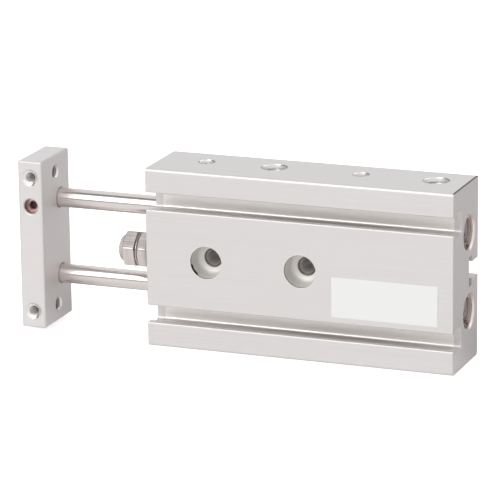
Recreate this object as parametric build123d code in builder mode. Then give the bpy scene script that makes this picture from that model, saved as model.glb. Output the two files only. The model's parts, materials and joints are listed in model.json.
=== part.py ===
"""Twin-rod guided pneumatic cylinder, shown with both rods fully out.

The housing is a slotted aluminium extrusion with two parallel bores. Each bore holds a rod,
a piston and a long guide bush, and an end plate joins both rods, so that the plate can't turn.
Millimetres. X runs along the rods, with the end plate at -X, -Y is the front face and +Z is up.
The origin is the middle of the housing's bottom face.
"""

from build123d import *
import math
import os

os.makedirs("parts", exist_ok=True)

# Motion
stroke = 15.0
end_gap = 0.05  # what is left between the stops at either end of the stroke
retracted_gap = 8.35  # end plate to housing, rods in

# Housing section
body_depth = 16.0  # front to back
body_height = 37.0
body_edge_radius = 0.65
panel_height = 20.0  # the front face between the two sensor slots
sensor_mouth = 3.5
sensor_width = 5.1  # behind the lips
sensor_depth = 5.35
sensor_lip = 1.4
sensor_corner_radius = 0.7
lip_edge_radius = 0.3
rail_mouth = 3.5  # the T slot along the middle of the back
rail_lip = 3.6
rail_width = 6.1
rail_head = 2.15
rail_edge_radius = 0.4

# Bores, from the rod end to the head end
bore_diameter = 6.0
bore_pitch = 16.2
bore_setback = 2.4  # behind the middle of the housing
cover_bore_diameter = 6.8
rod_cover_seat = 23.0
head_cover_seat = 4.9
bore_chamfer = 0.4

# Retaining rings and the grooves that they snap into
ring_setback = 0.55
ring_thickness = 0.6
ring_groove_diameter = 7.3
ring_radial_width = 0.75
ring_gap_angle = 52.0
ring_lug_radius = 0.72
ring_lug_hole = 0.3
ring_gap_direction = 222.0  # from +Y towards +Z

# Rods and pistons
rod_diameter = 4.0
rod_spigot_diameter = 2.5
rod_chamfer = 0.3
piston_length = 10.0
magnet_length = 3.2
magnet_diameter = 5.3
piston_nut_length = 2.0
piston_nut_flats = 4.8
spigot_end_length = 0.8  # beyond the nut
cushion_length = 2.85
cushion_diameter = 5.0
seal_inset = 1.4  # of either groove from its end of the piston
seal_groove_width = 1.5
seal_groove_depth = 0.85
wear_band_width = 2.2
wear_band_depth = 0.45

# Rod covers and bushes
bush_diameter = 5.4
bush_length = 16.9
gland_wall = 1.0  # in front of the rod seal
rod_seal_width = 1.6
rod_seal_depth = 0.7
oring_width = 1.15
oring_depth = 0.7
oring_setback = 2.8

# Head covers
stop_boss_diameter = 4.4
stop_boss_length = 2.85
cover_chamfer = 0.25

# Holes in the housing
side_screw_inset = 12.85
side_screw_pitch = 20.0
side_screw_head = 6.75
side_screw_head_depth = 4.2
m4_core = 3.3
m4_thread = 4.0
top_hole_setback = 1.0  # behind the middle of the housing
top_screw_inset = 9.75
top_screw_pitch = 32.85
m3_core = 2.5
m3_lead_in = 3.5
top_screw_depth = 4.6
port_core = 4.2
port_lead_in = 5.45
port_depth = 4.4
port_bore = 1.6
rod_port_inset = 1.3  # from the rod cover's seat
head_port_inset = 1.5  # from the head cover's seat

# End plate
plate_thickness = 5.25
plate_depth = 13.6
plate_height = 35.15
plate_edge_chamfer = 0.25
plate_face_pitch = 28.1
plate_side_pitch = 28.2
plate_side_depth = 4.8
rod_socket_depth = 1.3  # for the lower rod, which a cap screw pulls in
cap_screw_head = 4.5
cap_screw_head_height = 1.9
cap_screw_thread = 2.5
cap_screw_length = 8.0
cap_screw_key = 2.0
cap_screw_chamfer = 0.2
thread_runout = 0.5  # of the lower rod's hole beyond the cap screw
lock_screw_thread = 3.0
lock_screw_key = 1.5
lock_screw_sink = 1.5
lock_lead_in = 3.5
lock_spot_depth = 0.3  # of the flat that the lock screw bears on
m3_face_lead_in = 3.2
rod_end_sink = 0.4
rod_lead_in = 4.5  # of the rods' holes in the inner face

# Adjustable stop on the rod end
stop_setback = -2.4  # in front of the middle of the housing
stop_thread = 4.0
stop_hole_depth = 9.0
stop_reach = 7.5  # of the bolt's shank into the housing
stop_washer_diameter = 9.0
stop_washer_thickness = 0.8
stop_nut_flats = 6.9
stop_nut_thickness = 2.3
stop_head_flats = 6.9
stop_head_thickness = 2.55
stop_neck = 0.65  # between the nut and the bolt's head
stop_neck_diameter = 3.2
stop_turn = 165.0  # direction of one corner of both hexagons, from +Y towards +Z
hexagon_bevel_angle = 30.0
bumper_diameter = 5.4
bumper_stem_diameter = 2.6
bumper_stem_length = 1.6
bumper_height = 1.3
bumper_edge_radius = 0.8

# Label
label_width = 22.05
label_height = 8.2
label_thickness = 0.08
label_inset = 3.15  # from the head end
label_rise = 1.3  # above the panel's lower edge

# Fits
running_clearance = 0.02  # round a rod in its bush and seal
bore_clearance = 0.05  # round a piston, a cover or a screw's head
press_clearance = 0.01  # between pieces that are pressed, glued or screwed together
ring_clearance = 0.04
seal_bevel_share = 0.25  # of a soft ring's thickness
same_place = 0.001  # edges closer than this to a place lie on it

# Levels and stations that follow from the sizes above
middle_z = body_height / 2
front_y = -body_depth / 2
back_y = body_depth / 2
body_length = (
    rod_cover_seat + cushion_length + piston_length + magnet_length + piston_nut_length
    + spigot_end_length + stroke + stop_boss_length + 2 * end_gap + head_cover_seat
)
rod_end_x = -body_length / 2
head_end_x = body_length / 2
rod_seat_x = rod_end_x + rod_cover_seat
head_seat_x = head_end_x - head_cover_seat
cover_recess = ring_setback + ring_thickness + bore_clearance
piston_front_x = rod_seat_x + end_gap + cushion_length
piston_back_x = piston_front_x + piston_length
magnet_back_x = piston_back_x + magnet_length
plate_inner_x = rod_end_x - retracted_gap - stroke
plate_outer_x = plate_inner_x - plate_thickness
plate_middle_x = (plate_inner_x + plate_outer_x) / 2
bore_levels = {"upper": middle_z + bore_pitch / 2, "lower": middle_z - bore_pitch / 2}
slot_levels = [middle_z + side * (panel_height + sensor_mouth) / 2 for side in (-1, 1)]
rod_radius = rod_diameter / 2
bore_radius = bore_diameter / 2
cover_radius = cover_bore_diameter / 2 - bore_clearance

# Drawing planes: their x and y run along the first and second axis named
front_plane = Plane(origin=(0, front_y, 0), x_dir=(1, 0, 0), z_dir=(0, -1, 0))
top_plane = Plane(origin=(0, 0, body_height), x_dir=(1, 0, 0), z_dir=(0, 0, 1))


def end_section(x, y=0, z=0):
    """Plane across the rods at a point, with its x along Y and its y along Z."""
    return Plane(origin=(x, y, z), x_dir=(0, 1, 0), z_dir=(1, 0, 0))


def lengthwise(y, z):
    """Plane through a line along X, with its x along that line and its y upwards."""
    return Plane(origin=(0, y, z), x_dir=(1, 0, 0), z_dir=(0, -1, 0))


def step(start, end, inner, outer, mode=Mode.ADD):
    """One rectangle of a turned piece's half section."""
    with Locations(((start + end) / 2, (inner + outer) / 2)):
        Rectangle(end - start, outer - inner, mode=mode)


def squeezed(start, end, inner, outer):
    """Half section of a soft ring that fills its groove, with its four corners bevelled."""
    bevel = (outer - inner) * seal_bevel_share
    Polygon(
        (start + bevel, inner),
        (end - bevel, inner),
        (end, inner + bevel),
        (end, outer - bevel),
        (end - bevel, outer),
        (start + bevel, outer),
        (start, outer - bevel),
        (start, inner + bevel),
        align=None,
    )


def bevelled(start, end, flats, both_ends):
    """Half section that bevels the corners of a hexagon at its start, or at both ends."""
    corner = flats / 3**0.5
    bevel = (corner - flats / 2) * math.tan(math.radians(hexagon_bevel_angle))
    far_bevel = bevel if both_ends else 0
    far_radius = flats / 2 if both_ends else corner
    Polygon(
        (start, 0),
        (start, flats / 2),
        (start + bevel, corner),
        (end - far_bevel, corner),
        (end, far_radius),
        (end, 0),
        align=None,
    )


def save(piece, name):
    """Label a finished piece and write it under the same name."""
    piece.part.label = name
    export_step(piece.part, f"parts/{name}.step")


# Housing: one extrusion, cut to length, bored from both ends and drilled
with BuildPart() as housing:
    with BuildSketch(end_section(0)) as profile:
        with Locations((0, middle_z)):
            RectangleRounded(body_depth, body_height, body_edge_radius)
        with Locations(*[(front_y, level) for level in slot_levels]):
            Rectangle(
                2 * sensor_lip + sensor_corner_radius,
                sensor_mouth,
                mode=Mode.SUBTRACT,
            )
        pocket_y = front_y + (sensor_lip + sensor_depth) / 2
        with Locations(*[(pocket_y, level) for level in slot_levels]):
            RectangleRounded(
                sensor_depth - sensor_lip, sensor_width, sensor_corner_radius, mode=Mode.SUBTRACT
            )
        with Locations((back_y, middle_z)):
            Rectangle(2 * rail_lip + rail_head, rail_mouth, mode=Mode.SUBTRACT)
        with Locations((back_y - rail_lip - rail_head / 2, middle_z)):
            Rectangle(rail_head, rail_width, mode=Mode.SUBTRACT)
        mouths = profile.vertices().filter_by(
            lambda v: abs(v.Y - middle_z) < middle_z - body_edge_radius - same_place
            and min(abs(v.X - front_y), abs(v.X - back_y)) < same_place
        )
        fillet(mouths.filter_by(lambda v: v.X < 0), lip_edge_radius)
        fillet(mouths.filter_by(lambda v: v.X > 0), rail_edge_radius)
    extrude(amount=body_length / 2, both=True)

    for level in bore_levels.values():
        turning = lengthwise(bore_setback, level)
        with BuildSketch(turning):
            step(rod_end_x, rod_seat_x, 0, cover_bore_diameter / 2)
            step(rod_seat_x, head_seat_x, 0, bore_radius)
            step(head_seat_x, head_end_x, 0, cover_bore_diameter / 2)
            for side, end_x in ((1, rod_end_x), (-1, head_end_x)):
                near = end_x + side * (ring_setback - ring_clearance)
                far = end_x + side * (ring_setback + ring_thickness + ring_clearance)
                step(min(near, far), max(near, far), 0, ring_groove_diameter / 2)
        revolve(axis=Axis(turning.origin, turning.x_dir), mode=Mode.SUBTRACT)
    bore_mouths = housing.edges().filter_by(GeomType.CIRCLE).filter_by(
        lambda e: abs(e.radius - cover_bore_diameter / 2) < same_place
        and abs(abs(e.arc_center.X) - body_length / 2) < same_place
    )
    chamfer(bore_mouths, bore_chamfer)

    with Locations(front_plane):
        with Locations(
            *[
                (rod_end_x + side_screw_inset + i * side_screw_pitch, middle_z)
                for i in range(2)
            ]
        ):
            CounterBoreHole(m4_core / 2, side_screw_head / 2, side_screw_head_depth)
    screw_mouths = housing.edges().filter_by(GeomType.CIRCLE).filter_by(
        lambda e: abs(e.radius - m4_core / 2) < same_place
        and abs(e.arc_center.Y - front_y - side_screw_head_depth) < same_place
    )
    chamfer(screw_mouths, (m4_thread - m4_core) / 2)

    with Locations(top_plane):
        with Locations(
            *[
                (rod_end_x + top_screw_inset + i * top_screw_pitch, top_hole_setback)
                for i in range(2)
            ]
        ):
            CounterSinkHole(m3_core / 2, m3_lead_in / 2, top_screw_depth, 90)
        with Locations(
            (rod_seat_x + rod_port_inset, top_hole_setback),
            (head_seat_x - head_port_inset, top_hole_setback),
        ):
            CounterSinkHole(port_core / 2, port_lead_in / 2, port_depth, 90)
            Hole(port_bore / 2, body_height - bore_levels["lower"])

    with Locations(Plane(origin=(rod_end_x, stop_setback, middle_z), z_dir=(-1, 0, 0))):
        Hole(stop_thread / 2 + press_clearance, stop_hole_depth)
save(housing, "housing")

# Bare label on the front panel
with BuildPart() as label:
    with BuildSketch(front_plane):
        with Locations(
            (
                head_end_x - label_inset - label_width / 2,
                middle_z - panel_height / 2 + label_rise + label_height / 2,
            )
        ):
            Rectangle(label_width, label_height)
    extrude(amount=label_thickness)
save(label, "label")

# Covers, seals and retaining rings, the same in both bores
for place, level in bore_levels.items():
    turning = lengthwise(bore_setback, level)
    bore_axis = Axis(turning.origin, turning.x_dir)
    cover_front = rod_end_x + cover_recess
    seal_front = cover_front + gland_wall
    oring_front = cover_front + oring_setback
    bush_front = rod_seat_x - bush_length
    gland_radius = rod_radius + bore_clearance
    bush_radius = bush_diameter / 2

    with BuildPart() as rod_cover:
        with BuildSketch(turning):
            step(cover_front, rod_seat_x, gland_radius, cover_radius)
            step(
                seal_front, seal_front + rod_seal_width,
                gland_radius, rod_radius + rod_seal_depth, Mode.SUBTRACT,
            )
            step(
                oring_front, oring_front + oring_width,
                cover_radius - oring_depth, cover_radius, Mode.SUBTRACT,
            )
            step(bush_front, rod_seat_x, gland_radius, bush_radius, Mode.SUBTRACT)
        revolve(axis=bore_axis)
    save(rod_cover, f"rod_cover_{place}")

    with BuildPart() as rod_bush:
        with BuildSketch(turning):
            step(
                bush_front + press_clearance, rod_seat_x,
                rod_radius + running_clearance, bush_radius - press_clearance,
            )
        revolve(axis=bore_axis)
    save(rod_bush, f"rod_bush_{place}")

    with BuildPart() as rod_seal:
        with BuildSketch(turning):
            squeezed(
                seal_front + press_clearance, seal_front + rod_seal_width - press_clearance,
                rod_radius + running_clearance, rod_radius + rod_seal_depth - press_clearance,
            )
        revolve(axis=bore_axis)
    save(rod_seal, f"rod_seal_{place}")

    head_cover_back = head_end_x - cover_recess
    head_oring_front = (head_seat_x + head_cover_back - oring_width) / 2
    with BuildPart() as head_cover:
        with BuildSketch(turning):
            step(head_seat_x, head_cover_back, 0, cover_radius)
            step(head_seat_x - stop_boss_length, head_seat_x, 0, stop_boss_diameter / 2)
            step(
                head_oring_front, head_oring_front + oring_width,
                cover_radius - oring_depth, cover_radius, Mode.SUBTRACT,
            )
        revolve(axis=bore_axis)
        rims = head_cover.edges().filter_by(GeomType.CIRCLE).sort_by(Axis.X)
        chamfer([rims[0], rims[-1]], cover_chamfer)
    save(head_cover, f"head_cover_{place}")

    for cover, groove_front in (("rod", oring_front), ("head", head_oring_front)):
        with BuildPart() as oring:
            with BuildSketch(turning):
                squeezed(
                    groove_front + press_clearance, groove_front + oring_width - press_clearance,
                    cover_radius - oring_depth + press_clearance,
                    cover_bore_diameter / 2 - press_clearance,
                )
            revolve(axis=bore_axis)
        save(oring, f"{cover}_cover_oring_{place}")

    for cover, ring_x in (
        ("rod", rod_end_x + ring_setback),
        ("head", head_end_x - ring_setback - ring_thickness),
    ):
        ring_outer = ring_groove_diameter / 2 - ring_clearance
        lug_circle = ring_outer - ring_lug_radius - ring_clearance
        gap_sides = [ring_gap_direction + side * ring_gap_angle / 2 for side in (-1, 1)]
        lugs = PolarLocations(lug_circle, 2, gap_sides[0], ring_gap_angle, endpoint=True)
        with BuildPart() as ring:
            with BuildSketch(end_section(ring_x, bore_setback, level)):
                Circle(ring_outer)
                Circle(ring_outer - ring_radial_width, mode=Mode.SUBTRACT)
                Polygon(
                    (0, 0),
                    *[Vector(2 * ring_outer, 0).rotate(Axis.Z, side) for side in gap_sides],
                    align=None,
                    mode=Mode.SUBTRACT,
                )
                with lugs:
                    Circle(ring_lug_radius)
                    Circle(ring_lug_hole, mode=Mode.SUBTRACT)
            extrude(amount=ring_thickness)
        save(ring, f"{cover}_ring_{place}")

# Adjustable stop: a bolt screwed into the rod end between the rods, locked by a nut
stop_axis = Axis((0, stop_setback, middle_z), (1, 0, 0))
washer_x = rod_end_x - stop_washer_thickness
nut_x = washer_x - stop_nut_thickness
head_bearing_x = nut_x - stop_neck
head_x = head_bearing_x - stop_head_thickness
shank_radius = stop_thread / 2

with BuildPart() as stop_washer:
    with BuildSketch(end_section(washer_x, stop_setback, middle_z)):
        Circle(stop_washer_diameter / 2)
        Circle(shank_radius + bore_clearance, mode=Mode.SUBTRACT)
    extrude(amount=stop_washer_thickness)
save(stop_washer, "stop_washer")

with BuildPart() as stop_nut:
    with BuildSketch(end_section(nut_x, stop_setback, middle_z)):
        RegularPolygon(stop_nut_flats / 2, 6, major_radius=False, rotation=stop_turn)
        Circle(shank_radius + press_clearance, mode=Mode.SUBTRACT)
    extrude(amount=stop_nut_thickness)
    with BuildSketch(lengthwise(stop_setback, middle_z)):
        bevelled(nut_x, washer_x, stop_nut_flats, both_ends=True)
    revolve(axis=stop_axis, mode=Mode.INTERSECT)
save(stop_nut, "stop_nut")

with BuildPart() as stop_bolt:
    with BuildSketch(end_section(head_x, stop_setback, middle_z)):
        RegularPolygon(stop_head_flats / 2, 6, major_radius=False, rotation=stop_turn)
    extrude(amount=stop_head_thickness)
    with BuildSketch(lengthwise(stop_setback, middle_z)):
        bevelled(head_x, head_bearing_x, stop_head_flats, both_ends=False)
    revolve(axis=stop_axis, mode=Mode.INTERSECT)
    with BuildSketch(end_section(head_bearing_x, stop_setback, middle_z)):
        Circle(stop_neck_diameter / 2)
    extrude(amount=stop_neck)
    with BuildSketch(end_section(nut_x, stop_setback, middle_z)):
        Circle(shank_radius)
    extrude(amount=rod_end_x + stop_reach - nut_x)
    chamfer(stop_bolt.edges().sort_by(Axis.X)[-1], rod_chamfer)
    with Locations(Plane(origin=(head_x, stop_setback, middle_z), z_dir=(-1, 0, 0))):
        Hole(bumper_stem_diameter / 2 + press_clearance, bumper_stem_length)
save(stop_bolt, "stop_bolt")

with BuildPart() as stop_bumper:
    with BuildSketch(lengthwise(stop_setback, middle_z)):
        step(head_x, head_x + bumper_stem_length, 0, bumper_stem_diameter / 2)
        step(head_x - bumper_height, head_x, 0, bumper_diameter / 2)
    revolve(axis=stop_axis)
    fillet(stop_bumper.edges().sort_by(Axis.X)[0], bumper_edge_radius)
save(stop_bumper, "stop_bumper")

# End plate with its two screws
outer_plane = Plane(origin=(plate_outer_x, 0, middle_z), x_dir=(0, -1, 0), z_dir=(-1, 0, 0))
inner_plane = Plane(origin=(plate_inner_x, 0, middle_z), x_dir=(0, 1, 0), z_dir=(1, 0, 0))
side_plane = Plane(
    origin=(plate_middle_x, -plate_depth / 2, middle_z), x_dir=(1, 0, 0), z_dir=(0, -1, 0)
)
cap_head_depth = cap_screw_head_height + bore_clearance
lock_seat_y = bore_setback - rod_radius + lock_spot_depth

with BuildPart() as end_plate:
    with BuildSketch(outer_plane):
        Rectangle(plate_depth, plate_height)
    extrude(amount=-plate_thickness)
    chamfer(end_plate.edges(), plate_edge_chamfer)
    with Locations(inner_plane):
        with GridLocations(0, plate_face_pitch, 1, 2):
            CounterSinkHole(m3_core / 2, m3_face_lead_in / 2, None, 90)
        with Locations((bore_setback, bore_pitch / 2)):
            CounterSinkHole(rod_radius + press_clearance, rod_lead_in / 2, None, 90)
        with Locations((bore_setback, -bore_pitch / 2)):
            CounterSinkHole(
                rod_radius + press_clearance, rod_lead_in / 2, rod_socket_depth, 90
            )
    with Locations(outer_plane):
        with Locations((-bore_setback, -bore_pitch / 2)):
            CounterBoreHole(
                cap_screw_thread / 2 + bore_clearance,
                cap_screw_head / 2 + bore_clearance,
                cap_head_depth,
                plate_thickness - rod_socket_depth,
            )
    with Locations(side_plane):
        with GridLocations(0, plate_side_pitch, 1, 2):
            CounterSinkHole(m3_core / 2, m3_lead_in / 2, plate_side_depth, 90)
        with Locations((0, bore_pitch / 2)):
            CounterSinkHole(
                lock_screw_thread / 2 + press_clearance,
                lock_lead_in / 2,
                plate_depth / 2 + bore_setback,
                90,
            )
save(end_plate, "end_plate")

lock_top_y = lock_screw_sink - plate_depth / 2
lock_plane = Plane(
    origin=(plate_middle_x, lock_top_y, bore_levels["upper"]), x_dir=(1, 0, 0), z_dir=(0, -1, 0)
)
with BuildPart() as rod_lock_screw:
    with BuildSketch(lock_plane):
        Circle(lock_screw_thread / 2)
    extrude(amount=lock_top_y - lock_seat_y)
    chamfer(rod_lock_screw.edges(), rod_chamfer)
    with BuildSketch(lock_plane):
        RegularPolygon(lock_screw_key / 2, 6, major_radius=False)
    extrude(amount=-lock_screw_key, mode=Mode.SUBTRACT)
save(rod_lock_screw, "rod_lock_screw")

cap_seat_x = plate_outer_x + cap_head_depth
cap_end_x = cap_seat_x + cap_screw_length
cap_turning = lengthwise(bore_setback, bore_levels["lower"])
with BuildPart() as plate_cap_screw:
    with BuildSketch(cap_turning):
        step(cap_seat_x - cap_screw_head_height, cap_seat_x, 0, cap_screw_head / 2)
        step(cap_seat_x, cap_end_x, 0, cap_screw_thread / 2)
    revolve(axis=Axis(cap_turning.origin, cap_turning.x_dir))
    rims = plate_cap_screw.edges().filter_by(GeomType.CIRCLE).sort_by(Axis.X)
    chamfer([rims[0], rims[-1]], cap_screw_chamfer)
    with BuildSketch(
        Plane(
            origin=(cap_seat_x - cap_screw_head_height, bore_setback, bore_levels["lower"]),
            z_dir=(-1, 0, 0),
        )
    ):
        RegularPolygon(cap_screw_key / 2, 6, major_radius=False)
    extrude(amount=-cap_screw_key / 2, mode=Mode.SUBTRACT)
save(plate_cap_screw, "plate_cap_screw")

# Rods with their pistons
spigot_radius = rod_spigot_diameter / 2
spigot_end_x = magnet_back_x + piston_nut_length + spigot_end_length
seal_x = piston_front_x + seal_inset
wear_band_x = piston_back_x - seal_inset - wear_band_width
groove_top = bore_radius - bore_clearance
rod_starts = {
    "upper": plate_outer_x + rod_end_sink,
    "lower": plate_inner_x - rod_socket_depth,
}
for place, level in bore_levels.items():
    turning = lengthwise(bore_setback, level)
    bore_axis = Axis(turning.origin, turning.x_dir)
    rod_start = rod_starts[place]

    with BuildPart() as piston_rod:
        with BuildSketch(turning):
            step(rod_start, piston_front_x, 0, rod_radius)
            step(piston_front_x, spigot_end_x, 0, spigot_radius)
        revolve(axis=bore_axis)
        rims = piston_rod.edges().filter_by(GeomType.CIRCLE).sort_by(Axis.X)
        chamfer([rims[0], rims[-1]], rod_chamfer)
        if place == "upper":
            with Locations(
                Plane(
                    origin=(plate_middle_x, bore_setback - rod_radius, level),
                    x_dir=(1, 0, 0),
                    z_dir=(0, -1, 0),
                )
            ):
                Hole(lock_screw_thread / 2, lock_spot_depth)
        else:
            with Locations(Plane(origin=(rod_start, bore_setback, level), z_dir=(-1, 0, 0))):
                Hole(
                    cap_screw_thread / 2 + press_clearance,
                    cap_end_x - rod_start + thread_runout,
                )
    save(piston_rod, f"piston_rod_{place}")

    with BuildPart() as piston:
        with BuildSketch(turning):
            step(piston_front_x, piston_back_x, spigot_radius + press_clearance, groove_top)
            step(
                seal_x, seal_x + seal_groove_width,
                groove_top - seal_groove_depth, groove_top, Mode.SUBTRACT,
            )
            step(
                wear_band_x, wear_band_x + wear_band_width,
                groove_top - wear_band_depth, groove_top, Mode.SUBTRACT,
            )
        revolve(axis=bore_axis)
    save(piston, f"piston_{place}")

    with BuildPart() as piston_seal:
        with BuildSketch(turning):
            squeezed(
                seal_x + press_clearance, seal_x + seal_groove_width - press_clearance,
                groove_top - seal_groove_depth + press_clearance,
                bore_radius - running_clearance,
            )
        revolve(axis=bore_axis)
    save(piston_seal, f"piston_seal_{place}")

    with BuildPart() as wear_band:
        with BuildSketch(turning):
            step(
                wear_band_x + press_clearance, wear_band_x + wear_band_width - press_clearance,
                groove_top - wear_band_depth + press_clearance,
                bore_radius - running_clearance,
            )
        revolve(axis=bore_axis)
    save(wear_band, f"wear_band_{place}")

    with BuildPart() as magnet:
        with BuildSketch(turning):
            step(
                piston_back_x, magnet_back_x,
                spigot_radius + press_clearance, magnet_diameter / 2,
            )
        revolve(axis=bore_axis)
    save(magnet, f"magnet_{place}")

    with BuildPart() as piston_nut:
        with BuildSketch(end_section(magnet_back_x, bore_setback, level)):
            RegularPolygon(piston_nut_flats / 2, 6, major_radius=False)
            Circle(spigot_radius + press_clearance, mode=Mode.SUBTRACT)
        extrude(amount=piston_nut_length)
    save(piston_nut, f"piston_nut_{place}")

    with BuildPart() as cushion:
        with BuildSketch(turning):
            step(
                piston_front_x - cushion_length, piston_front_x,
                rod_radius + press_clearance, cushion_diameter / 2,
            )
        revolve(axis=bore_axis)
    save(cushion, f"cushion_{place}")
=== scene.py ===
# %% [markdown]
# # Dressing a guided pneumatic cylinder
# The frame below is a finished model of the cylinder, in metres: X runs along the rods,
# -Y is the front and Z is up. Nothing in it is moved. This lesson gives every piece its
# real finish, cuts the screw threads that a plain model leaves out, and lights it as a
# catalogue photograph does.

import json
import math

import bpy
import numpy as np
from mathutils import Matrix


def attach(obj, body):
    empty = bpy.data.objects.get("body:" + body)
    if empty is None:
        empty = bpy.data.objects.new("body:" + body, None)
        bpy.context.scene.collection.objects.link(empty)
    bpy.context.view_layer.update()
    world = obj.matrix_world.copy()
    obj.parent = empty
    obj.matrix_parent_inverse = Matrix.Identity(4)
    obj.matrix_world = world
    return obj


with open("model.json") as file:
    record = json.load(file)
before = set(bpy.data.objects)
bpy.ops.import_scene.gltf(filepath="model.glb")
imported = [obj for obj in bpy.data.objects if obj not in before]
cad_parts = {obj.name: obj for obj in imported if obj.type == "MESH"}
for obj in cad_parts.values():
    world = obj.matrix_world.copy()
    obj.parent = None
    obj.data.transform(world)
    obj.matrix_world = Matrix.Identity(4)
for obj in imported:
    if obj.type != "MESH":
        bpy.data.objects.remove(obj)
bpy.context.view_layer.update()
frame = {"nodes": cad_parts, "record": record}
slot_of = {row["node"]: row["material_slot"] for row in frame["record"]["subparts"]}
print("nodes", len(frame["nodes"]), "finishes", len(set(slot_of.values())))

# %% [markdown]
# ## Colour and nodes
# Blender's sockets want linear light, while colours are easier to read as the hex values
# of a picture, so one function turns one into the other. Another adds a node with its
# settings and inputs. An input may be a number, a colour or another node, which is linked.
# A Map Range node is used throughout: its inputs in order are a value, where the range
# starts, where it ends, and what it gives at the start and at the end, 0 and 1 if left out.

# %% Colour and node helpers
mm = 0.001


def linear(hex_colour):
    """Each sRGB channel c becomes c/12.92 below 0.04045 and ((c + 0.055)/1.055)**2.4 above."""
    c = np.array([int(hex_colour[i : i + 2], 16) for i in (1, 3, 5)]) / 255
    c = np.where(c <= 0.04045, c / 12.92, ((c + 0.055) / 1.055) ** 2.4)
    return (*c.tolist(), 1.0)


def feed(tree, node, inputs):
    """Gives a node its inputs, by name or in order: a value is set, a node or output is linked."""
    for socket, value in inputs.items() if isinstance(inputs, dict) else enumerate(inputs):
        if isinstance(value, bpy.types.Node):
            value = next(output for output in value.outputs if output.enabled)
        if isinstance(value, bpy.types.NodeSocket):
            tree.links.new(value, node.inputs[socket])
        else:
            node.inputs[socket].default_value = value


def add(tree, kind, inputs=(), **settings):
    """A new node of that kind, with its settings and its inputs."""
    made = tree.nodes.new("ShaderNode" + kind)
    for name, value in settings.items():
        setattr(made, name, value)
    feed(tree, made, inputs)
    return made


def finish(name, colour, metallic, roughness):
    """A material with its plain values set, its node tree, shader and object coordinates."""
    material = bpy.data.materials.new(name)
    material.use_nodes = True
    tree = material.node_tree
    shader = tree.nodes["Principled BSDF"]
    values = {"Base Color": linear(colour), "Metallic": metallic, "Roughness": roughness}
    feed(tree, shader, values)
    return material, tree, shader, add(tree, "TexCoord").outputs["Object"]


finishes = {}
print("a mid grey in linear light", round(linear("#808080")[0], 3))

# %% [markdown]
# ## Blasted and anodised aluminium
# Housing and end plate are extruded aluminium, blasted with fine grit and clear anodised.
# The blast leaves a grain of about a twentieth of a millimetre, far too fine to show, so it
# is drawn at 0.35 mm and kept very shallow. Under it the extrusion die has left lines along
# X, about a tenth apart, drawn at 0.25 mm as a faint change of tone and relief. The oxide
# spreads reflections widely: high roughness, and not fully metallic. Deep in slots and holes
# the skin is smoother, and its colour is painted brighter there as painted light. A Bevel
# node makes sharp edges catch the light as rounded ones do. A Bevel modifier would change
# the model's mesh.


# %% A grain, and the depth under a block's skin
def grain(tree, place, size, stretch=(1, 1, 1), detail=2.0):
    """Noise whose lumps are about size metres, stretched along each axis by its factor."""
    scale = tuple(1 / (size * s) for s in stretch)
    scaled = add(tree, "Mapping", {"Vector": place, "Scale": scale})
    return add(tree, "TexNoise", {"Vector": scaled, "Scale": 1.0, "Detail": detail})


def depth_inside(tree, place, low, high):
    """How far a place lies under a block's skin: the least of half - |place - centre|."""
    centre = tuple((a + b) / 2 * mm for a, b in zip(low, high))
    half = tuple((b - a) / 2 * mm for a, b in zip(low, high))
    offset = add(tree, "VectorMath", (place, centre), operation="SUBTRACT")
    offset = add(tree, "VectorMath", (offset,), operation="ABSOLUTE")
    depth = add(tree, "VectorMath", (half, offset), operation="SUBTRACT")
    x, y, z = add(tree, "SeparateXYZ", (depth,)).outputs
    least = add(tree, "Math", (x, y), operation="MINIMUM")
    return add(tree, "Math", (least, z), operation="MINIMUM")


# %% Blasted skin
grit_size, grit_relief = 0.35 * mm, 0.008 * mm
die_spacing, die_length, die_relief = 0.25 * mm, 160, 0.002 * mm
edge_radius = 0.28 * mm


def blasted(tree, place, skin, streak, low, high):
    """Colour, roughness, normal and depth of the blasted skin on a block from low to high."""
    depth = depth_inside(tree, place, low, high)
    smooth_lit_recess = add(tree, "MapRange", (depth, 1.5 * mm, 1.9 * mm))
    grit = grain(tree, place, grit_size)
    die_lines = grain(tree, place, die_spacing, (die_length, 1, 1))
    normal = add(tree, "Bevel", {"Radius": edge_radius}, samples=6)
    for pattern, relief in ((die_lines, die_relief), (grit, grit_relief)):
        normal = add(tree, "Bump", {"Height": pattern, "Distance": relief, "Normal": normal})
    matt = add(tree, "MapRange", (grit, 0.0, 1.0, 0.44, 0.56))
    smoother = add(tree, "MapRange", (smooth_lit_recess, 0.0, 1.0, 0.0, 0.12))
    rough = add(tree, "Math", (matt, smoother), operation="SUBTRACT")
    lines = add(tree, "MapRange", (die_lines, 0.35, 0.65))
    drawn = add(tree, "Mix", {0: lines, 6: linear(skin), 7: linear(streak)}, data_type="RGBA")
    # Deep in slots and holes the colour is painted brighter as painted light.
    colour = add(tree, "Mix", {0: smooth_lit_recess, 6: drawn, 7: linear("#FAF7F5")}, data_type="RGBA")
    return colour, rough, normal, depth


print("grit is drawn", round(grit_size / mm, 2), "mm wide, die lines", round(die_spacing / mm, 2))

# %% [markdown]
# ## Bores of the housing
# The two bores are cut after blasting, so the chamfers at their mouths are smooth, and their
# colour there is painted bright as a painted reflection. Both lie the same distance from the
# middle of the housing, so one folded height, the distance from that middle less half the
# pitch, serves them both.


# %% Housing: skin and bores
middle_z = 18.5  # half the housing's height, in mm
bore_y, middle, half_pitch = 2.4 * mm, middle_z * mm, 8.1 * mm
mouth_radius, skin_starts = 3.78 * mm, 3.84 * mm


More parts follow.
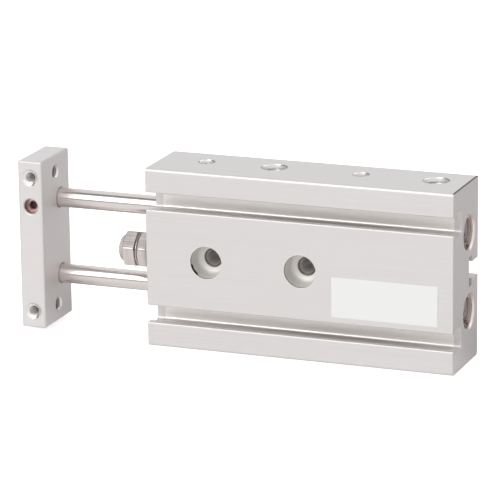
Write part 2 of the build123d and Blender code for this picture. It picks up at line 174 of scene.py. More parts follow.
def bore_radius(tree, place):
    """Distance from the nearer bore's axis: the root of a squared plus b squared.

    Here a is y - bore_y and b is |z - middle| - half_pitch.
    """
    x, y, z = add(tree, "SeparateXYZ", (place,)).outputs
    y = add(tree, "Math", (y, bore_y), operation="SUBTRACT")
    z = add(tree, "Math", (z, middle), operation="SUBTRACT")
    z = add(tree, "Math", (z,), operation="ABSOLUTE")
    z = add(tree, "Math", (z, half_pitch), operation="SUBTRACT")
    across = add(tree, "CombineXYZ", {"Y": y, "Z": z})
    return add(tree, "VectorMath", (across,), operation="LENGTH")


housing_block = ((-32.35, -8, 0), (32.35, 8, 37))
skin, streak = "#DEDBDB", "#E1DEDE"
housing_skin, tree, shader, place = finish("blasted_anodised_aluminium", skin, 0.75, 0.5)
colour, rough, normal, depth = blasted(tree, place, skin, streak, *housing_block)
# Painted reflection: the bores' mouths are painted bright.
mouth = add(tree, "MapRange", (bore_radius(tree, place), skin_starts, mouth_radius))
colour = add(tree, "Mix", {0: mouth, 6: colour, 7: linear("#F3E6E3")}, data_type="RGBA")
polish = add(tree, "MapRange", (mouth, 0.0, 1.0, 0.0, 0.2))
rough = add(tree, "Math", (rough, polish), operation="SUBTRACT")
feed(tree, shader, {"Roughness": rough, "Normal": normal})
finishes["anodised_aluminium"] = housing_skin
print("bore mouths are", round(2 * mouth_radius / mm, 2), "mm wide")

# %% [markdown]
# ## Slots of the housing
# Deep in the slots, towards the end where the saw cut the extrusion to length, the colour is
# painted brighter and less metallic as painted light entering the open end. A dark hair line
# runs along the top edge at that end. Soft light reaches the slots' lower walls and the far
# edges of their lips here, so they are painted grey as painted shade, most of all near the
# housing's middle. Each place is a share from 0 to 1, and where several have to hold at once,
# their shares are multiplied.

# %% Housing: slots' painted light and shade, and a dark edge line
x, y, z = add(tree, "SeparateXYZ", (place,)).outputs
deep = add(tree, "MapRange", (depth, 1.4 * mm, 1.6 * mm))
# Painted light: deep in the slots and towards the +X end, brighter and less metallic.
near_saw = add(tree, "MapRange", (x, 2.0 * mm, 31.0 * mm))
painted_end_light = add(tree, "Math", (near_saw, deep), operation="MULTIPLY")
colour = add(tree, "Mix", {0: painted_end_light, 6: colour, 7: linear("#FFFCFA")}, data_type="RGBA")
feed(tree, shader, {"Metallic": add(tree, "MapRange", (painted_end_light, 0.0, 1.0, 0.75, 0.5))})

# Painted shade: the slots' lower walls and the far edges of their lips are greyed.
slot_shade = add(tree, "MapRange", (x, -28.0 * mm, 5.0 * mm, 0.35, 0.75))
cleared = add(tree, "MapRange", (x, 0.0, 26.0 * mm, 1.0, 0.55))
slot_shade = add(tree, "Math", (slot_shade, cleared), operation="MINIMUM")
lip = add(tree, "MapRange", (depth, 1.0 * mm, 1.2 * mm))
lip_end = add(tree, "MapRange", (depth, 1.5 * mm, 1.45 * mm))
in_front = add(tree, "MapRange", (y, -4.0 * mm, -5.0 * mm))
# The slots' lower walls are at 4.2 and 27.7 mm, so folding there measures from the nearer one.
wall_low, wall_fold = 4.2 * mm, 11.75 * mm
from_wall = add(tree, "Math", (z, wall_low), operation="SUBTRACT")
from_wall = add(tree, "Math", (from_wall, wall_fold), operation="PINGPONG")
wall = add(tree, "MapRange", (from_wall, 0.4 * mm, 0.12 * mm))
ahead = add(tree, "MapRange", (y, -1.0 * mm, -1.5 * mm))
for share, others in ((lip, (lip_end, in_front, slot_shade)), (wall, (deep, ahead, slot_shade))):
    for other in others:
        share = add(tree, "Math", (share, other), operation="MULTIPLY")
    colour = add(tree, "Mix", {0: share, 6: colour, 7: linear("#968D88")}, data_type="RGBA")

# A dark hair line along the top edge at the +X end.
near_end = add(tree, "MapRange", (x, 32.1 * mm, 32.25 * mm))
near_top = add(tree, "MapRange", (z, 36.7 * mm, 36.85 * mm))
dark_top_edge_line = add(tree, "Math", (near_end, near_top), operation="MULTIPLY")
colour = add(tree, "Mix", {0: dark_top_edge_line, 6: colour, 7: linear("#6E625C")}, data_type="RGBA")
feed(tree, shader, {"Base Color": colour})
print("housing nodes", len(tree.nodes))

# %% [markdown]
# ## End plate
# The plate is cut from a flat bar and blasted and anodised with the housing, so it takes the
# same skin, painted a touch paler as painted light. Its holes run deeper than a slot, and are
# painted brighter in the same way.

# %% End plate
plate_block = ((-60.95, -6.8, 0.925), (-55.7, 6.8, 36.075))
# The housing's skin, painted a touch paler as painted light.
skin, streak = "#E2DFDF", "#E4E1E1"
plate_skin, tree, shader, place = finish("blasted_plate_aluminium", skin, 0.75, 0.5)
colour, rough, normal, depth = blasted(tree, place, skin, streak, *plate_block)
feed(tree, shader, {"Base Color": colour, "Roughness": rough, "Normal": normal})
finishes["plate_aluminium"] = plate_skin
print("plate nodes", len(tree.nodes))

# %% [markdown]
# ## Turned covers
# The bores' covers are turned on a lathe, so their faces carry circles round the bore's own
# axis. The circles are 0.05 mm apart in truth and are drawn at 0.22 mm. They could be a Wave
# texture, but noise along the radius alone draws uneven rings, as a worn tool does. In the
# head end's openings, oil has gathered low down and to the front, round the rings' lugs. The
# height there is wrapped at the housing's middle, so one range of it serves both bores.


# %% Turned aluminium
def circles(tree, radius, spacing):
    """Noise along the radius only, so that it draws uneven rings, about spacing apart."""
    scaled = add(tree, "Math", (radius, 1 / spacing), operation="MULTIPLY")
    along_it = {"W": scaled, "Scale": 1.0, "Detail": 1.0}
    return add(tree, "TexNoise", along_it, noise_dimensions="1D")


def oiled(tree, place, colour):
    """A colour with dark oily patches of about 0.45 mm, low in the head end's openings."""
    x, y, z = add(tree, "SeparateXYZ", (place,)).outputs
    top = middle + 2 * half_pitch
    height = add(tree, "Math", (z, top, middle), operation="WRAP")
    share = add(tree, "MapRange", (grain(tree, place, 0.45 * mm), 0.46, 0.5))
    for value, start, end in ((x, 20, 25), (y, 4.4, 3.4), (height, 26.9, 25.9)):
        other = add(tree, "MapRange", (value, start * mm, end * mm))
        share = add(tree, "Math", (share, other), operation="MULTIPLY")
    patched = {0: share, 6: linear(colour), 7: linear("#4A403D")}
    return add(tree, "Mix", patched, data_type="RGBA")


skin = "#ABA4A0"
turned, tree, shader, place = finish("turned_anodised_aluminium", skin, 0.9, 0.34)
rings = circles(tree, bore_radius(tree, place), 0.22 * mm)
normal = add(tree, "Bump", {"Height": rings, "Distance": 0.006 * mm})
feed(tree, shader, {"Base Color": oiled(tree, place, skin), "Normal": normal})
finishes["turned_aluminium"] = turned
print("turned nodes", len(tree.nodes))

# %% [markdown]
# ## Ground and chromed rods
# The rods are ground between centres and hard chromed. They mirror the whole studio, drawn
# out round the rod by the wheel's marks: that is anisotropy about X, set on the shader. The
# marks are a few hundredths of a millimetre wide and are drawn at 0.3 mm, mostly as a change
# of gloss. Near the plate the chrome is a little greyer, as a painted reflection of the plate.


# %% Chromed steel
chromed, tree, shader, place = finish("ground_chromed_steel", "#E3DCDA", 1.0, 0.22)
around_x = add(tree, "Tangent", direction_type="RADIAL", axis="X")
feed(tree, shader, {"Anisotropic": 0.9, "Anisotropic Rotation": 0.25, "Tangent": around_x})
wheel_marks = grain(tree, place, 0.3 * mm, (1, 40, 40), 3.0)
rough = add(tree, "MapRange", (wheel_marks, 0.0, 1.0, 0.18, 0.27))
normal = add(tree, "Bump", {"Height": wheel_marks, "Distance": 0.0006 * mm})
x, y, z = add(tree, "SeparateXYZ", (place,)).outputs
# Painted reflection: the chrome is greyer near the plate.
clear = add(tree, "MapRange", (x, -56.5 * mm, -46.0 * mm))
tones = {0: clear, 6: linear("#D2CAC7"), 7: linear("#E6DFDD")}
chrome = add(tree, "Mix", tones, data_type="RGBA")
feed(tree, shader, {"Base Color": chrome, "Roughness": rough, "Normal": normal})
finishes["chromed_steel"] = chromed
print("chrome nodes", len(tree.nodes))

# %% [markdown]
# ## Nickel-plated stop
# Bolt, nut and washer are cold-drawn hexagon steel with a warm nickel plating. Fine tool
# lines run across the flats, about 0.15 mm apart, drawn at 0.24 mm. On the upper flats the
# streaks left along the bar by drawing it show more, at 0.18 mm, and these flats are painted
# darker with bright lines as painted shade and reflection. Next to the housing the plating is
# painted duller as painted shade. A Bevel node rounds the worn corners.

# %% Nickel-plated steel
nickelled, tree, shader, place = finish("nickel_plated_steel", "#DFD6D2", 1.0, 0.32)
cut_lines = grain(tree, place, 0.24 * mm, (1, 60, 60))
streaks = grain(tree, place, 0.18 * mm, (60, 1, 1))
x, y, z = add(tree, "SeparateXYZ", (place,)).outputs
lined = add(tree, "MapRange", (cut_lines, 0.35, 0.65))
drawn = add(tree, "MapRange", (streaks, 0.4, 0.62))
# Painted shade and reflection: the upper flats darker, with bright streaks.
upper = add(tree, "MapRange", (z, 19.0 * mm, 19.4 * mm, 0.0, 0.7))
# Painted shade: the plating is duller next to the housing.
housing_shade = add(tree, "MapRange", (x, -35.0 * mm, -33.0 * mm, 0.0, 0.6))
tones = {0: lined, 6: linear("#CFC6C3"), 7: linear("#E6DEDB")}
nickel = add(tree, "Mix", tones, data_type="RGBA")
tones = {0: drawn, 6: linear("#B1AAA7"), 7: linear("#EBE4E2")}
streaks_and_reflections = add(tree, "Mix", tones, data_type="RGBA")
nickel = add(tree, "Mix", {0: upper, 6: nickel, 7: streaks_and_reflections}, data_type="RGBA")
nickel = add(tree, "Mix", {0: housing_shade, 6: nickel, 7: linear("#9C9492")}, data_type="RGBA")
rough = add(tree, "MapRange", (cut_lines, 0.0, 1.0, 0.24, 0.46))
rounded = add(tree, "Bevel", {"Radius": 0.45 * mm}, samples=6)
relief = {"Height": cut_lines, "Distance": 0.01 * mm, "Normal": rounded}
feed(tree, shader, {"Base Color": nickel, "Roughness": rough, "Normal": add(tree, "Bump", relief)})
finishes["nickel_steel"] = nickelled
print("nickel nodes", len(tree.nodes))

# %% [markdown]
# ## Small pieces
# The pieces that show little, or only when the cylinder is taken apart, share one kind of
# finish: a colour, and a grain that breaks up the gloss by 0.06 either way and gives a slight
# relief. Each row is the finish's name, colour, metallic, roughness, and the grain's size and
# relief in millimetres. The real grains are hundredths of a millimetre, so all are drawn
# coarser, in the order of the real ones. The retaining rings also carry the oil.


# %% Grained finishes
def grained(name, colour, metallic, rough, size, relief, stretch=(1, 1, 1)):
    """A finish whose gloss and relief follow one grain, with its tree, shader and coordinates."""
    material, tree, shader, place = finish(name, colour, metallic, rough)
    specks = grain(tree, place, size * mm, stretch)
    gloss = add(tree, "MapRange", (specks, 0.0, 1.0, rough - 0.06, rough + 0.06))
    normal = add(tree, "Bump", {"Height": specks, "Distance": relief * mm})
    feed(tree, shader, {"Roughness": gloss, "Normal": normal})
    return material, tree, shader, place


plain = {
    # Smooth film: a soft sheen over white.
    "label_white": ("satin_polyester_film", "#EBEBEB", 0.0, 0.32, 0.6, 0.0015),
    # Pressed powder, full of pores: a brown gold, rather matt.
    "sintered_bronze": ("sintered_oil_bronze", "#A98A5C", 1.0, 0.42, 0.12, 0.012),
    # Moulded rubber with a little talc: near black, matt.
    "nitrile_rubber": ("moulded_nitrile_rubber", "#26241F", 0.0, 0.62, 0.3, 0.004),
    # Stamped strip, zinc plated: warm and bright.
    "spring_steel": ("plated_spring_steel", "#DDD2CE", 0.9, 0.32, 0.2, 0.006),
    # Black oxide over forged steel: dark, with a metal's gloss.
    "black_steel": ("blackened_screw_steel", "#2B2A29", 0.9, 0.38, 0.15, 0.004),
    # Turned from white rod: cream, a waxy gloss.
    "acetal": ("turned_acetal", "#E4E0CF", 0.0, 0.4, 0.25, 0.003),
    # Ferrite powder in resin: dark grey and grainy.
    "magnet_plastic": ("bonded_magnet_plastic", "#2E2B28", 0.1, 0.5, 0.1, 0.006),
    # Cast urethane: light grey, an even soft gloss.
    "urethane": ("moulded_grey_urethane", "#B9B5B4", 0.0, 0.45, 0.3, 0.004),
}
for slot, row in plain.items():
    finishes[slot], tree, shader, place = grained(*row)
    if slot == "spring_steel":
        feed(tree, shader, {"Base Color": oiled(tree, place, row[1])})
print("plain finishes", len(plain))

# %% [markdown]
# ## Lock screw
# The screw in the plate's narrow face carries a dried patch of thread lock, which gives it a
# copper tone. Its socket is painted dark as painted shade, and its rim bright as a painted
# highlight. The distance from the screw's own axis parts the two.

# %% Lock screw
plate_x, lock_z = -58.325, 26.6
screw, tree, shader, place = finish("copper_toned_screw_steel", "#DDB3AA", 1.0, 0.3)
on_axis = (plate_x * mm, 0, lock_z * mm)
offset = add(tree, "VectorMath", (place, on_axis), operation="SUBTRACT")
across = add(tree, "VectorMath", (offset, (1, 0, 1)), operation="MULTIPLY")
radius = add(tree, "VectorMath", (across,), operation="LENGTH")
# Painted shade in the socket, a painted highlight on the rim.
rim = add(tree, "MapRange", (radius, 0.95 * mm, 1.06 * mm))
tones = {0: rim, 6: linear("#8A7473"), 7: linear("#FFE0DA")}
feed(tree, shader, {"Base Color": add(tree, "Mix", tones, data_type="RGBA")})
finishes["coppered_steel"] = screw
print("lock screw rim from", 0.95, "to", 1.06, "mm")

# %% [markdown]
# ## Freshly cut aluminium
# The new pieces below are cut surfaces of the aluminium, which the blasting never reached:
# milled counterbores, turned lead-ins and tapped threads. They take the same kind of grained
# finish, its grain drawn out across the holes as the tool's marks are. The marks are a few
# hundredths of a millimetre wide, and are drawn at 0.1 to 0.18 mm. The threads are one
# aluminium in lit and shaded copies: the plate's side ones painted pale as painted light,
# those in its inner face painted darker as painted shade, and the ones deep in the
# counterbores painted darkest at their mouths as painted shade. One is stained by thread lock.

# %% Cut finishes
cut = {
    # Left by an end mill: pale, even, hardly a mirror.
    "milled": ("milled_aluminium", "#E9E7E4", 0.55, 0.55, 0.18, 0.004),
    # Left by a turning tool: the brightest of them, nearly a mirror.
    "lead_in": ("turned_lead_in_aluminium", "#ECE9E8", 0.95, 0.27, 0.1, 0.002),
    # Tapped threads: small facets that spread what they mirror, so they are less metallic.
    # Deep in the counterbores: painted dark at the mouth as painted shade.
    "deep": ("mouth_shaded_thread_aluminium", "#CFCBC9", 0.3, 0.4, 0.1, 0.002),
    # The plate's side holes: painted pale as painted light.
    "clean": ("lit_pale_thread_aluminium", "#F6F3F1", 0.1, 0.4, 0.1, 0.002),
    # The plate's inner face: painted darker as painted shade.
    "shaded": ("shaded_thread_aluminium", "#B0ABA8", 0.3, 0.4, 0.1, 0.002),
    "tapped": ("tapped_thread_aluminium", "#D2CDCA", 0.45, 0.34, 0.1, 0.002),
    "locked": ("stained_thread_aluminium", "#A58888", 0.3, 0.4, 0.1, 0.004),
}
trees = {}
for key, row in cut.items():
    finishes[key], *trees[key] = grained(*row, stretch=(3, 1, 3))

tree, shader, place = trees["deep"]
x, y, z = add(tree, "SeparateXYZ", (place,)).outputs
# Painted shade: each deep thread is painted dark at its mouth.
mouth = add(tree, "MapRange", (y, -3.4 * mm, -3.6 * mm))
tones = {0: mouth, 6: linear(cut["deep"][1]), 7: linear("#6A625E")}
feed(tree, shader, {"Base Color": add(tree, "Mix", tones, data_type="RGBA")})
print("cut finishes", len(cut))

# %% [markdown]
# ## Marks on the counterbores
# Each counterbore has a fine grey line just inside its rim, as painted shade. The one at the
# rod side also has a dark patch on its wall, low and to the left. The patch is a ball round
# one point, cut off at a depth and at the rim, which is simpler than a shape of its own and
# stays on the wall.

# %% Counterbore marks
tree, shader, place = trees["milled"]
x, y, z = add(tree, "SeparateXYZ", (place,)).outputs
# Painted shade: a fine grey line just inside each rim.
inside = add(tree, "MapRange", (y, -7.99 * mm, -7.96 * mm))
shallow = add(tree, "MapRange", (y, -7.4 * mm, -7.65 * mm))
line = add(tree, "Math", (inside, shallow), operation="MULTIPLY")
tones = {0: line, 6: linear(cut["milled"][1]), 7: linear("#A39B97")}
tone = add(tree, "Mix", tones, data_type="RGBA")
dark_patch_at = (-22.35 * mm, -7.8 * mm, 16.7 * mm)
away = add(tree, "VectorMath", (place, dark_patch_at), operation="DISTANCE")
dark_patch = add(tree, "MapRange", (away, 1.4 * mm, 1.15 * mm))
above = add(tree, "MapRange", (y, -6.95 * mm, -7.15 * mm))
for other in (above, inside):
    dark_patch = add(tree, "Math", (dark_patch, other), operation="MULTIPLY")
tone = add(tree, "Mix", {0: dark_patch, 6: tone, 7: linear("#1F1B19")}, data_type="RGBA")
feed(tree, shader, {"Base Color": tone})
print("stain is about", 2 * 1.15, "mm across")

# %% [markdown]
# ## Every piece gets its finish
# The model's record names a material slot for each piece. The end plate shares the housing's
# slot, and is the one piece with a finish of its own.

# %% Finishes on the model
for name, piece in frame["nodes"].items():
    piece.data.materials.clear()
    chosen = "plate_aluminium" if name == "end_plate" else slot_of[name]
    piece.data.materials.append(finishes[chosen])
print("materials", sorted(m.name for m in finishes.values()))

# %% [markdown]
# ## Surfaces round an axis
# Every new piece goes round an axis: a hole's or the stop's. Each is a grid of points, by the
# turn round the axis and by the place along its section. The grid closes on itself both
# ways, so the surface is a closed skin, and its volume's sign says which way the faces look.


# %% Grid to mesh
def round_an_axis(start, axis, h, r, turn):
    """Points at height h and radius r from start along axis, each turned by its share of a circle."""
    axis = np.array(axis, float)
    side = np.cross(axis, [0.0, 0.0, 1.0])
    side = np.array([1.0, 0.0, 0.0]) if np.linalg.norm(side) < 0.5 else side
    up = np.cross(side, axis)
    angle = 2 * np.pi * turn
    across = np.cos(angle)[..., None] * side + np.sin(angle)[..., None] * up
    return (np.array(start, float) + h[..., None] * axis + r[..., None] * across) * mm


def surface(name, points, body, finish_name):
    """A mesh of the quads between neighbours in a grid that closes both ways.

    Its volume is a sixth of the sum of a . (b x c) + a . (c x d), and is made positive.
    """
    rows, columns = points.shape[:2]
    i, j = np.meshgrid(np.arange(rows), np.arange(columns), indexing="ij")
    next_i, next_j = (i + 1) % rows, (j + 1) % columns
    corners = ((i, j), (next_i, j), (next_i, next_j), (i, next_j))
    quads = np.stack([u * columns + v for u, v in corners], axis=-1).reshape(-1, 4)
    p = points.reshape(-1, 3)
    a, b, c, d = (p[quads[:, k]] for k in range(4))
    volume = np.sum(a * np.cross(b, c)) + np.sum(a * np.cross(c, d))
    if volume < 0:
        quads = quads[:, ::-1]
    mesh = bpy.data.meshes.new(name)
    mesh.from_pydata(p.tolist(), [], quads.tolist())
    mesh.update()
    made = bpy.data.objects.new(name, mesh)
    bpy.context.scene.collection.objects.link(made)
    mesh.materials.append(finishes[finish_name])
    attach(made, body)
    return made


down, inward, along, back = (0, 0, -1), (0, 1, 0), (1, 0, 0), (-1, 0, 0)
housing, plate = "housing_body", "rod_and_plate"

# %% [markdown]
# ## Screw threads
# The model's tapped holes are plain cylinders at the thread's inner diameter. A thread is a
# ridge that climbs one pitch per turn, so each is a thin sleeve whose inner radius is a
# triangle wave of the height less the turn, and it stands just inside the plain hole. A
# helix swept with a triangle would do too, but its ends would need closing by hand. The same
# function, with a relief outwards, cuts the thread on the stop's neck.


# %% Threads
around, per_pitch = 48, 8


def thread(name, start, axis, wall, pitch, length, body, mouth, relief, finish_name):
    """Radius = wall + relief*wave(height/pitch - turn), wider by mouth less height at the start."""
    steps = int(round(length / pitch * per_pitch)) + 1
    turn, s = np.meshgrid(
        np.arange(around) / around, np.linspace(0, length, steps), indexing="ij"
    )
    wave = 1 - np.abs(2 * ((s / pitch - turn) % 1) - 1)
    fade = np.clip(np.minimum(s, length - s) / (pitch / 4), 0, 1)
    skin = math.copysign(0.005, relief)
    plain_wall = wall + np.clip(mouth - s, 0, None)
    ridge = plain_wall + skin + relief * wave * fade
    rear = plain_wall + 0.4 * skin
    r = np.concatenate([ridge, rear[:, ::-1]], axis=1)
    h = np.concatenate([s, s[:, ::-1]], axis=1)
    turns = np.repeat(turn[:, :1], r.shape[1], axis=1)
    points = round_an_axis(start, axis, h, r, turns)
    return surface(name, points, body, finish_name)


print("points round a thread", around, "and along each pitch", per_pitch)

# %% Thread sizes and places, in mm
m3, m4, m5, neck = (1.25, 0.5), (1.65, 0.7), (2.1, 0.8), (1.6, 0.7)
top_y, stop_y = 1.0, -2.4
screw_x, port_x, side_x = (-22.6, 10.25), (-8.05, 25.95), (-19.5, 0.5)
side_z, face_z = (32.6, 4.4), (32.55, 4.45)
threads = [
    # Start, axis, wall radius and pitch, length, body, wider mouth, relief and finish.
    ("top_screw_rod_side", (screw_x[0], top_y, 36.45), down, m3, 4.0, housing, 0, -0.16, "tapped"),
    ("top_screw_head_side", (screw_x[1], top_y, 36.45), down, m3, 4.0, housing, 0, -0.16, "tapped"),
    ("port_rod_side", (port_x[0], top_y, 36.3), down, m5, 3.6, housing, 0, -0.16, "tapped"),
    ("port_head_side", (port_x[1], top_y, 36.3), down, m5, 3.6, housing, 0, -0.16, "tapped"),
    ("side_screw_rod_side", (side_x[0], -3.79, middle_z), inward, m4, 6.5, housing, 0.33, -0.16, "deep"),
    ("side_screw_head_side", (side_x[1], -3.79, middle_z), inward, m4, 6.5, housing, 0.33, -0.16, "deep"),
    ("plate_side_upper", (plate_x, -6.25, side_z[0]), inward, m3, 4.2, plate, 0, -0.16, "clean"),
    ("plate_side_lower", (plate_x, -6.25, side_z[1]), inward, m3, 4.2, plate, 0, -0.16, "clean"),
    ("plate_face_upper", (-60.5, 0, face_z[0]), along, m3, 4.4, plate, 0, -0.16, "shaded"),
    ("plate_face_lower", (-60.5, 0, face_z[1]), along, m3, 4.4, plate, 0, -0.16, "shaded"),
    ("lock_hole", (plate_x, -6.45, lock_z), inward, (1.5, 0.5), 1.0, plate, 0, -0.07, "locked"),
    ("stop_neck", (-36.095, stop_y, middle_z), along, neck, 0.64, housing, 0, 0.37, "nickel_steel"),
]
for name, start, axis, (wall, pitch), *rest in threads:
    thread("thread_" + name, start, axis, wall, pitch, *rest)
print("threads", len(threads))

# %% [markdown]
# ## Lead-in cones
# Each tapped hole starts with a short cone, so that a screw finds its way in. The real ones
# look slightly hollow, with a bright side and a dark side. The model has a plain countersink
# there, and the cone stands on it as a thin closed skin: a curved profile carried once round
# the hole. A bump on the plain countersink couldn't turn its face far enough.


# %% Lead-in cones
def lead_in(name, start, axis, outer, inner, body, slope=1.0):
    """A hollow-ground cone: its radius shrinks by 0.7u + 0.3u*u of its width as it goes in."""
    full_depth = slope * (outer - inner)
    u = np.linspace(0, 1, 7)
    mouth = outer - 0.045
    radii = mouth - (mouth - inner + 0.012) * (0.7 * u + 0.3 * u * u)
    face = np.column_stack([radii, full_depth * u])
    profile = np.concatenate([face, face[::-1] + [0.004, 0.004]])
    turn, i = np.meshgrid(np.arange(56) / 56, np.arange(len(profile)), indexing="ij")
    points = round_an_axis(start, axis, profile[i, 1], profile[i, 0], turn)
    return surface(name, points, body, "lead_in")


cones = [
    ("top_screw_rod_side", (screw_x[0], top_y, 37), down, 1.75, 1.25, housing),
    ("top_screw_head_side", (screw_x[1], top_y, 37), down, 1.75, 1.25, housing),
    ("port_rod_side", (port_x[0], top_y, 37), down, 2.725, 2.1, housing),
    ("port_head_side", (port_x[1], top_y, 37), down, 2.725, 2.1, housing),
    ("plate_side_upper", (plate_x, -6.8, side_z[0]), inward, 1.75, 1.1, plate, 0.66),
    ("plate_side_lower", (plate_x, -6.8, side_z[1]), inward, 1.75, 1.1, plate, 0.66),
    ("plate_face_upper", (-55.7, 0, face_z[0]), back, 1.6, 1.25, plate),
    ("plate_face_lower", (-55.7, 0, face_z[1]), back, 1.6, 1.25, plate),
]
for name, *rest in cones:
    lead_in("lead_in_" + name, *rest)
print("lead-in cones", len(cones))

# %% [markdown]
# ## Wire ring on the stop
# The gap between the stop's hexagons shows a bright line with a dark one on either side: a
# thin wire ring round the neck. A torus from Blender's own list would do, but the circle
# carried round the bolt's axis comes from the same two helpers as the rest.


# %% Wire ring on the stop
def wire_ring(name, start, axis, radius, wire, body, slot):
    """Each point lies wire*(sin, cos) of its own angle off a circle of that radius."""
    turn, bend = np.meshgrid(np.arange(64) / 64, np.arange(12) / 12 * 2 * np.pi, indexing="ij")
    h = wire * np.sin(bend)
    r = radius + wire * np.cos(bend)
    return surface(name, round_an_axis(start, axis, h, r, turn), body, slot)


ring_at = (-35.775, stop_y, middle_z)
wire_ring("stop_wire_ring", ring_at, along, 3.34, 0.15, housing, "nickel_steel")
print("wire ring at x", ring_at[0], "mm")

# %% [markdown]
# ## Counterbores
# A counterbore is cut with a round-cornered end mill, which leaves a pale floor, a radius at
# its foot and no blasted grain. Each gets a thin lining: a profile that rolls over the rim,
# goes down the wall, round a quarter circle and in along the floor, carried once round the
# hole's axis. A Bevel modifier can't round the foot, because the model's mesh stays as it is.


# %% Counterbore linings
def lining(name, x, wall, foot, floor_y, inner):
    """Profile over a rolled rim, down the wall, round a quarter circle and in along the floor."""
    quarter = np.linspace(0, np.pi / 2, 9)
    rim = [[wall + 0.16, -8.002], [wall + 0.12, -8.03], [wall + 0.04, -8.02], [wall, -7.95]]
    bend = np.column_stack(
        [wall - foot * (1 - np.cos(quarter)), floor_y - foot * (1 - np.sin(quarter))]
    )
    rear_y = floor_y + 0.01
    rear = [[inner, floor_y], [inner, rear_y], [wall + 0.01, rear_y], [wall + 0.01, -7.99]]
    section = np.concatenate([rim, [[wall, -6.0]], bend, rear])
    turn, i = np.meshgrid(np.arange(72) / 72, np.arange(len(section)), indexing="ij")
    points = round_an_axis((x, 0, middle_z), inward, section[i, 1], section[i, 0], turn)
    return surface(name, points, housing, "milled")


for name, x in zip(("rod_side", "head_side"), side_x):
    lining("counterbore_" + name, x, 3.36, 1.3, -3.815, 1.98)
print("counterbore linings at x", side_x, "mm")

# %% [markdown]
# ## Studio floor
# The photograph has a plain white ground with hardly a shadow. The floor is one flat square
# just under the cylinder, far wider than the camera sees.

# %% Floor
floor_half, floor_level = 3.0, -0.02 * mm
mesh = bpy.data.meshes.new("studio_floor")
corners = [(-1, -1), (1, -1), (1, 1), (-1, 1)]
corners = [(floor_half * u, floor_half * v, floor_level) for u, v in corners]
mesh.from_pydata(corners, [], [(0, 1, 2, 3)])
floor = bpy.data.objects.new("studio_floor", mesh)
bpy.context.scene.collection.objects.link(floor)
print("floor is", 2 * floor_half, "m wide")

# %% [markdown]
# ## Backdrop paper
# Pale matt paper takes the object's soft shadow, and the camera's own rays see it brightened
# to white. Metal mirrors the paper too. For those rays alone two strips behind the object are
# greyer, as cards laid there would be, and they give the rods' undersides and the slots their
# soft dark lines. Light Path tells the rays apart.

# %% Paper
paper = bpy.data.materials.new("white_backdrop_paper")
paper.use_nodes = True
tree = paper.node_tree
tree.nodes.remove(tree.nodes["Principled BSDF"])
path = add(tree, "LightPath").outputs
x, y, z = add(tree, "SeparateXYZ", (add(tree, "TexCoord").outputs["Object"],)).outputs
to_left = add(tree, "MapRange", (x, 20 * mm, -20 * mm))
tones = {0: to_left, 6: linear("#B4B0AE"), 7: linear("#E2DFDD")}
far_card = add(tree, "Mix", tones, data_type="RGBA")
sheet = linear("#E9E8E6")
for near, far, card in ((2, 12, linear("#A09B99")), (22, 40, far_card)):
    behind = add(tree, "MapRange", (y, near * mm, far * mm))
    share = add(tree, "Math", (behind, path["Is Glossy Ray"]), operation="MULTIPLY")
    sheet = add(tree, "Mix", {0: share, 6: sheet, 7: card}, data_type="RGBA")
matt = add(tree, "BsdfDiffuse", {"Color": sheet})
rays = (path["Is Camera Ray"], path["Is Transmission Ray"])
seen = add(tree, "Math", rays, operation="MAXIMUM")
mirrored = add(tree, "MapRange", (path["Is Glossy Ray"], 0.0, 1.0, 0.0, 0.12))
level = add(tree, "MapRange", (seen, 0.0, 1.0, mirrored, 0.7))
glow = add(tree, "Emission", {"Color": (1, 1, 1, 1), "Strength": level})
both = add(tree, "AddShader", (matt, glow))
feed(tree, tree.nodes["Material Output"], {"Surface": both})
floor.data.materials.append(paper)
print("paper nodes", len(tree.nodes))

# %% [markdown]
# ## Studio light
# For matt surfaces the world is a plain soft dome, dimmer to the right. What gloss mirrors is
# a ring of soft boxes round the rods: bright in front, a dark gap straight above, another at
# the height of the lens, and darker towards the right, which gives the rods their dark lines
# and the end faces their grey. One more box stands to the right in front. The ring's first
# number is degrees up from the front and over the top. The side's is how far to the right a
# ray goes, from 0 to 1. The camera's own rays see white.

# %% Brightness of the soft boxes
ring_stops = [
    (-180, 0.8), (-20, 0.8), (-6, 0.42), (5, 0.42), (16, 0.74), (56, 1.0),
    (68, 0.6), (78, 0.3), (91, 0.22), (97, 0.95), (140, 0.95), (180, 0.93),
]
ring_stops = [((degrees + 180) / 360, bright) for degrees, bright in ring_stops]
side_stops = [
    (0, 0.1), (0.14, 0.12), (0.22, 0.62), (0.48, 0.66), (0.6, 0.2),
    (0.7, 0.2), (0.77, 1), (0.85, 1), (0.95, 0.5),
]
print("soft boxes", len(ring_stops), "stops round the rods,", len(side_stops), "across")

# %% [markdown]
# ## What gloss mirrors
# The turn round the rods is the arc tangent of up over front, and feeds one ramp. How far to
# the right feeds the other, and the two are multiplied. A picture of a studio could give the
# same light, but ramps keep every number in sight.

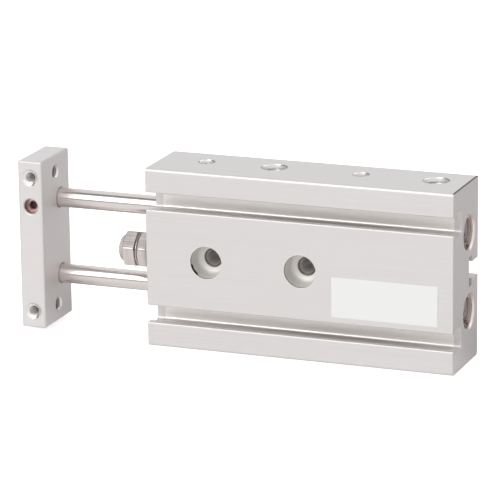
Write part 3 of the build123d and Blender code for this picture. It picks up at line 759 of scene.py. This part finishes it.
# %% World
world = bpy.data.worlds.new("soft_studio")
bpy.context.scene.world = world
world.use_nodes = True
tree = world.node_tree
tree.nodes.clear()
toward = add(tree, "TexCoord").outputs["Generated"]
x, y, z = add(tree, "SeparateXYZ", (toward,)).outputs
front = add(tree, "Math", (y, -1.0), operation="MULTIPLY")
turn = add(tree, "Math", (z, front), operation="ARCTAN2")
share = add(tree, "MapRange", (turn, -math.pi, math.pi))
rightward = add(tree, "MapRange", (x, -1.0, 1.0))
ramps = []
for value, stops in ((share, ring_stops), (rightward, side_stops)):
    ramp = add(tree, "ValToRGB", (value,))
    elements = ramp.color_ramp.elements
    while len(elements) < len(stops):
        elements.new(0.5)
    for element, (position, bright) in zip(elements, stops):
        element.position = position
        element.color = (bright, bright, bright, 1)
    ramps.append(ramp)
boxes, side = ramps
side = add(tree, "MapRange", (side, 0.0, 1.0, 0.0, 1.5))
level = add(tree, "Math", (boxes, side), operation="MULTIPLY")
to_right = add(tree, "MapRange", (rightward, 0.45, 0.55, 0.0, 0.95))
ahead = add(tree, "MapRange", (y, 0.6, 0.2))
right_box = add(tree, "Math", (to_right, ahead), operation="MULTIPLY")
level = add(tree, "Math", (level, right_box), operation="MAXIMUM")
gloss = add(tree, "Background", {"Color": (1, 1, 1, 1), "Strength": level})
print("ramps", len(ramps))

# %% [markdown]
# ## Dome and white ground
# The dome is a little brighter overhead. Light Path tells the rays apart again: gloss gets
# the soft boxes, the camera gets white, and everything else gets the dome.

# %% Dome
path = add(tree, "LightPath").outputs
dim = add(tree, "MapRange", (rightward, 0.5, 0.72, 0.75, 0.3))
above = add(tree, "MapRange", (z, 0.0, 1.0, 1.0, 1.4))
dim = add(tree, "Math", (dim, above), operation="MULTIPLY")
dome = add(tree, "Background", {"Color": (1, 1, 1, 1), "Strength": dim})
white = add(tree, "Background", {"Color": (1, 1, 1, 1), "Strength": 1.0})
lit = add(tree, "MixShader", (path["Is Glossy Ray"], dome, gloss))
shown = add(tree, "MixShader", (path["Is Camera Ray"], lit, white))
add(tree, "OutputWorld", {"Surface": shown})
print("world nodes", len(tree.nodes))

# %% [markdown]
# ## Lamp
# A wide sun from the left, above and in front lights the front and the top alike and leaves
# the right-hand end faces to the dome, as in the photograph. Its disc of 48 degrees keeps the
# shadows soft.


# %% Lamp
def sun(name, towards, strength, width):
    """A sun that shines from the direction towards it, with a disc that many degrees wide."""
    lamp = bpy.data.lights.new(name, "SUN")
    lamp.energy = strength
    lamp.angle = math.radians(width)
    made = bpy.data.objects.new(name, lamp)
    bpy.context.scene.collection.objects.link(made)
    x, y, z = towards
    made.rotation_euler = (math.atan2(math.hypot(x, y), z), 0, math.atan2(y, x) + math.pi / 2)
    return made


key = sun("key_softbox", (-0.3, -0.77, 0.6), 1.28, 48)
print("key light strength", round(key.data.energy, 2))

# %% [markdown]
# ## Camera
# A long lens from 0.69 m, 21.2 degrees to the right of the front and 15.4 degrees up, found
# by fitting the model's corners to those in the photograph. It rolls by under a degree.

# %% Camera
lens = bpy.data.cameras.new("catalogue_camera")
lens.sensor_width = 36
lens.lens = 245.352
lens.clip_start = 0.05
lens.clip_end = 20
camera = bpy.data.objects.new("catalogue_camera", lens)
bpy.context.scene.collection.objects.link(camera)
camera.location = (0.226527, -0.617041, 0.201531)
camera.rotation_euler = [math.radians(a) for a in (74.637, 0.6324, 21.0503)]
bpy.context.scene.camera = camera
bpy.context.scene.view_settings.view_transform = "Standard"
print("camera from", round(camera.location.length, 3), "m")
